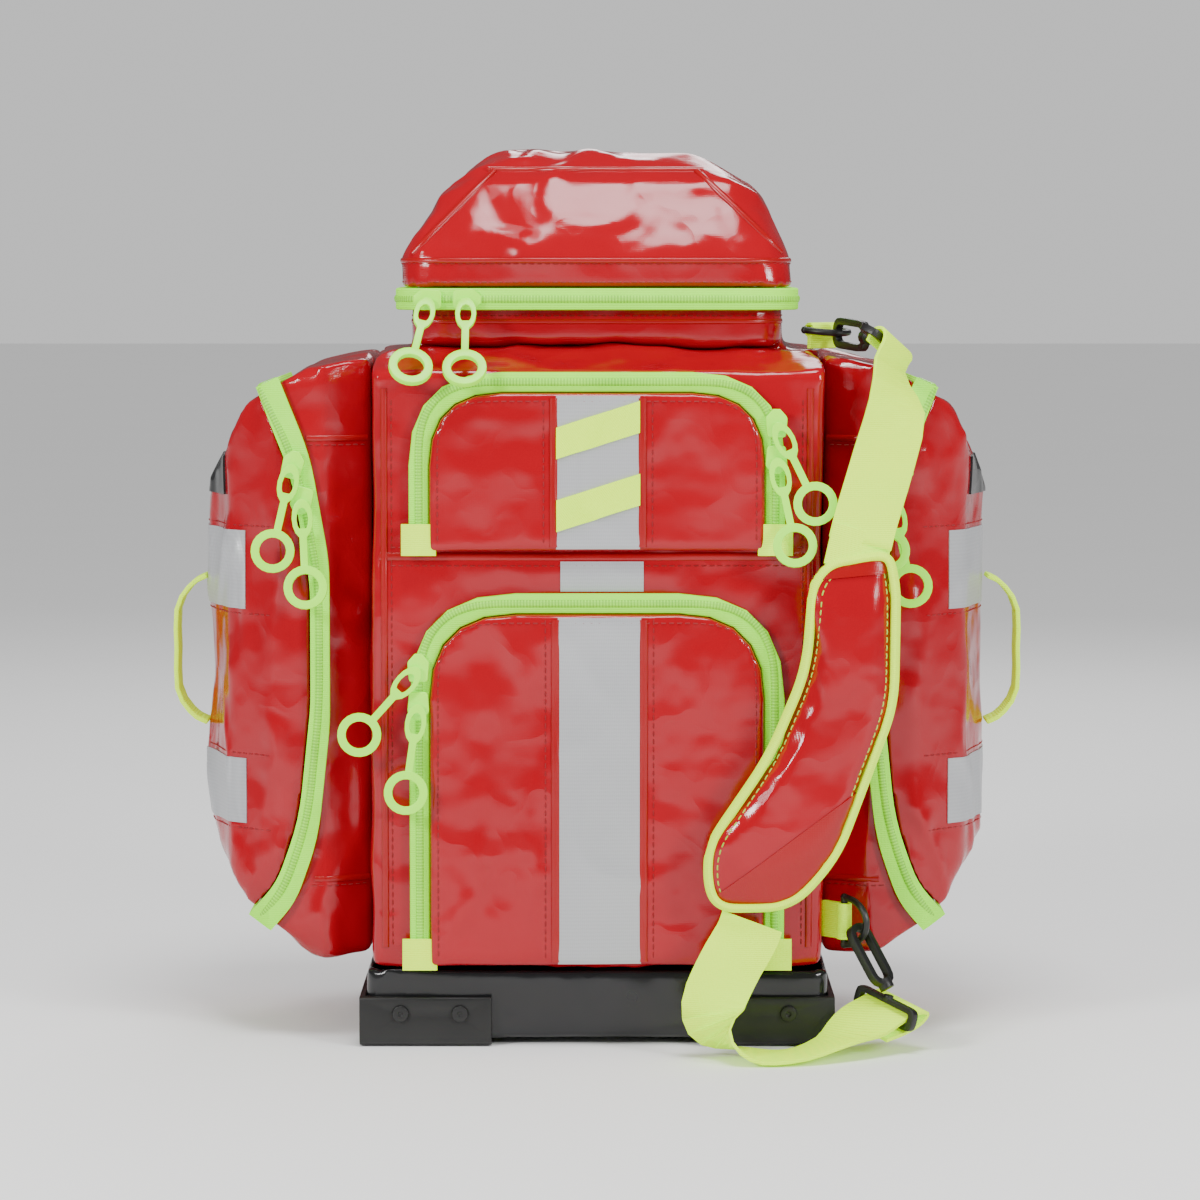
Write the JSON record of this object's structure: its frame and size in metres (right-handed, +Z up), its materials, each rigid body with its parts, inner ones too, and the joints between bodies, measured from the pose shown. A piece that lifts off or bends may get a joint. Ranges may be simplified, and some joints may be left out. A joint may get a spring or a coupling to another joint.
{
  "type": "trauma backpack",
  "caption": "Glossy rescue backpack with a zipped hood, drop-front pockets, hinged side pockets, a clipped sling, carrying straps and runner feet.",
  "frame": {"origin": "on the floor, in the middle of the outline seen from above", "axes": "+X to the right seen from the front, +Y to the back, +Z up; the pockets face -Y"},
  "size_m": [0.5298, 0.3402, 0.5407],
  "materials": {
    "red_tarpaulin": "glossy PVC-coated fabric",
    "black_vinyl": "glossy vinyl",
    "black_plastic": "matte moulded plastic",
    "lime_zip": "zip tape, coil and painted sliders",
    "lime_webbing": "woven webbing",
    "lime_pull": "moulded rubber",
    "black_mesh": "padded spacer mesh"
  },
  "bodies": {
    "bag": {"main_shell": "red_tarpaulin", "back_pad": "black_mesh", "base_boot": "black_vinyl", "left_foot": "black_plastic", "right_foot": "black_plastic", "foot_screw_1": "black_plastic", "foot_screw_2": "black_plastic", "foot_screw_3": "black_plastic", "foot_screw_4": "black_plastic", "front_pocket_tub": "red_tarpaulin", "left_pocket_tub": "red_tarpaulin", "right_pocket_tub": "red_tarpaulin", "hood_zip": "lime_zip", "upper_zip": "lime_zip", "lower_zip": "lime_zip", "left_zip": "lime_zip", "right_zip": "lime_zip", "upper_ring_tab": "lime_webbing", "lower_ring_tab": "lime_webbing", "left_shoulder_strap": "black_mesh", "right_shoulder_strap": "black_mesh", "left_ladder_buckle": "black_plastic", "right_ladder_buckle": "black_plastic"},
    "hood": {"hood": "red_tarpaulin"},
    "upper_flap": {"upper_flap": "red_tarpaulin"},
    "lower_flap": {"lower_flap": "red_tarpaulin"},
    "left_door": {"left_door": "red_tarpaulin", "left_side_handle": "lime_webbing"},
    "right_door": {"right_door": "red_tarpaulin", "right_side_handle": "lime_webbing"},
    "sling": {"sling_pad": "red_tarpaulin", "sling_upper_web": "lime_webbing", "sling_lower_web": "lime_webbing", "upper_hook_eye": "black_plastic", "lower_hook_eye": "black_plastic"},
    "upper_d_ring": {"upper_d_ring": "black_plastic"},
    "lower_d_ring": {"lower_d_ring": "black_plastic"},
    "upper_snap_hook": {"upper_snap_hook": "black_plastic"},
    "lower_snap_hook": {"lower_snap_hook": "black_plastic"},
    "hood_left_slider": {"hood_left_slider": "lime_zip"},
    "hood_left_pull": {"hood_left_pull": "lime_pull"},
    "hood_right_slider": {"hood_right_slider": "lime_zip"},
    "hood_right_pull": {"hood_right_pull": "lime_pull"},
    "upper_high_slider": {"upper_high_slider": "lime_zip"},
    "upper_high_pull": {"upper_high_pull": "lime_pull"},
    "upper_low_slider": {"upper_low_slider": "lime_zip"},
    "upper_low_pull": {"upper_low_pull": "lime_pull"},
    "lower_high_slider": {"lower_high_slider": "lime_zip"},
    "lower_high_pull": {"lower_high_pull": "lime_pull"},
    "lower_low_slider": {"lower_low_slider": "lime_zip"},
    "lower_low_pull": {"lower_low_pull": "lime_pull"},
    "left_high_slider": {"left_high_slider": "lime_zip"},
    "left_high_pull": {"left_high_pull": "lime_pull"},
    "left_low_slider": {"left_low_slider": "lime_zip"},
    "left_low_pull": {"left_low_pull": "lime_pull"},
    "right_high_slider": {"right_high_slider": "lime_zip"},
    "right_high_pull": {"right_high_pull": "lime_pull"},
    "right_low_slider": {"right_low_slider": "lime_zip"},
    "right_low_pull": {"right_low_pull": "lime_pull"}
  },
  "joints": [
    {"name": "hood_hinge", "type": "hinge", "parent": "bag", "child": "hood", "pos_m": [0, 0.099, 0.4584], "axis": [-1, 0, 0], "range_deg": [0, 110]},
    {"name": "upper_flap_hinge", "type": "hinge", "parent": "bag", "child": "upper_flap", "pos_m": [0, -0.0984, 0.3004], "axis": [1, 0, 0], "range_deg": [0, 90]},
    {"name": "lower_flap_hinge", "type": "hinge", "parent": "bag", "child": "lower_flap", "pos_m": [0, -0.0984, 0.0494], "axis": [1, 0, 0], "range_deg": [0, 11.7]},
    {"name": "left_door_hinge", "type": "hinge", "parent": "bag", "child": "left_door", "pos_m": [-0.2405, 0.0882, 0.23], "axis": [0, 0, -1], "range_deg": [0, 100]},
    {"name": "right_door_hinge", "type": "hinge", "parent": "bag", "child": "right_door", "pos_m": [0.2405, 0.0882, 0.23], "axis": [0, 0, 1], "range_deg": [0, 100]},
    {"name": "sling_swing", "type": "hinge", "parent": "bag", "child": "sling", "pos_m": [0.1765, -0.1129, 0.0346], "axis": [-0.0266, 0.0833, 0.9962], "range_deg": [0, 18]},
    {"name": "upper_d_ring_swing", "type": "hinge", "parent": "bag", "child": "upper_d_ring", "pos_m": [0.138, -0.031, 0.432], "axis": [0.746, 0.666, 0], "range_deg": [-3, 3]},
    {"name": "upper_hook_swivel", "type": "hinge", "parent": "upper_d_ring", "child": "upper_snap_hook", "pos_m": [0.1502, -0.0454, 0.4302], "axis": [0.41, -0.9101, -0.06], "range_deg": [-8, 8]},
    {"name": "lower_d_ring_swing", "type": "hinge", "parent": "bag", "child": "lower_d_ring", "pos_m": [0.15, -0.092, 0.075], "axis": [0, 0, 1], "range_deg": [-3, 3]},
    {"name": "lower_hook_swivel", "type": "hinge", "parent": "lower_d_ring", "child": "lower_snap_hook", "pos_m": [0.1598, -0.1018, 0.0657], "axis": [0.4504, -0.3003, -0.8408], "range_deg": [-8, 8]},
    {"name": "hood_left_slide", "type": "slide", "parent": "bag", "child": "hood_left_slider", "axis": [1, 0, 0], "range_m": [-0.006, 0]},
    {"name": "hood_left_lift", "type": "hinge", "parent": "hood_left_slider", "child": "hood_left_pull", "pos_m": [-0.102, -0.0783, 0.451], "axis": [-0.9744, 0, 0.225], "range_deg": [0, 60]},
    {"name": "hood_right_slide", "type": "slide", "parent": "bag", "child": "hood_right_slider", "axis": [1, 0, 0], "range_m": [0, 0.15]},
    {"name": "hood_right_lift", "type": "hinge", "parent": "hood_right_slider", "child": "hood_right_pull", "pos_m": [-0.079, -0.0783, 0.451], "axis": [-1, 0, 0], "range_deg": [0, 60]},
    {"name": "upper_high_slide", "type": "slide", "parent": "bag", "child": "upper_high_slider", "axis": [0, 0, 1], "range_m": [0, 0.01]},
    {"name": "upper_high_lift", "type": "hinge", "parent": "upper_high_slider", "child": "upper_high_pull", "pos_m": [0.1074, -0.1093, 0.377], "axis": [-0.8988, 0, -0.4384], "range_deg": [0, 60]},
    {"name": "upper_low_slide", "type": "slide", "parent": "bag", "child": "upper_low_slider", "axis": [0, 0, 1], "range_m": [-0.012, 0]},
    {"name": "upper_low_lift", "type": "hinge", "parent": "upper_low_slider", "child": "upper_low_pull", "pos_m": [0.1074, -0.1093, 0.356], "axis": [-0.9781, 0, -0.2079], "range_deg": [0, 45]},
    {"name": "lower_high_slide", "type": "slide", "parent": "bag", "child": "lower_high_slider", "axis": [0, 0, 1], "range_m": [0, 0.012]},
    {"name": "lower_high_lift", "type": "hinge", "parent": "lower_high_slider", "child": "lower_high_pull", "pos_m": [-0.1074, -0.1093, 0.23], "axis": [-0.7431, 0, 0.6691], "range_deg": [0, 60]},
    {"name": "lower_low_slide", "type": "slide", "parent": "bag", "child": "lower_low_slider", "axis": [0, 0, 1], "range_m": [-0.12, 0]},
    {"name": "lower_low_lift", "type": "hinge", "parent": "lower_low_slider", "child": "lower_low_pull", "pos_m": [-0.1074, -0.1093, 0.208], "axis": [-0.9903, 0, 0.1392], "range_deg": [0, 60]},
    {"name": "left_high_slide", "type": "slide", "parent": "left_door", "child": "left_high_slider", "axis": [-0.174, 0, 0.9848], "range_m": [0, 0.012]},
    {"name": "left_high_lift", "type": "hinge", "parent": "left_high_slider", "child": "left_high_pull", "pos_m": [-0.184, -0.0844, 0.351], "axis": [-0.9744, 0, 0.225], "range_deg": [0, 60]},
    {"name": "left_low_slide", "type": "slide", "parent": "left_door", "child": "left_low_slider", "axis": [-0.174, 0, 0.9848], "range_m": [-0.045, 0]},
    {"name": "left_low_lift", "type": "hinge", "parent": "left_low_slider", "child": "left_low_pull", "pos_m": [-0.1785, -0.0844, 0.33], "axis": [-0.9986, 0, -0.0523], "range_deg": [0, 60]},
    {"name": "right_high_slide", "type": "slide", "parent": "right_door", "child": "right_high_slider", "axis": [0.174, 0, 0.9848], "range_m": [0, 0.012]},
    {"name": "right_high_lift", "type": "hinge", "parent": "right_high_slider", "child": "right_high_pull", "pos_m": [0.184, -0.0844, 0.351], "axis": [-0.9848, 0, 0.1736], "range_deg": [0, 10]},
    {"name": "right_low_slide", "type": "slide", "parent": "right_door", "child": "right_low_slider", "axis": [0.174, 0, 0.9848], "range_m": [-0.045, 0]},
    {"name": "right_low_lift", "type": "hinge", "parent": "right_low_slider", "child": "right_low_pull", "pos_m": [0.1785, -0.0844, 0.33], "axis": [-0.9781, 0, -0.2079], "range_deg": [0, 10]}
  ],
  "couplings": [
    {"joint": "lower_flap_hinge", "follows": "sling_swing", "ratio": 0.65}
  ]
}
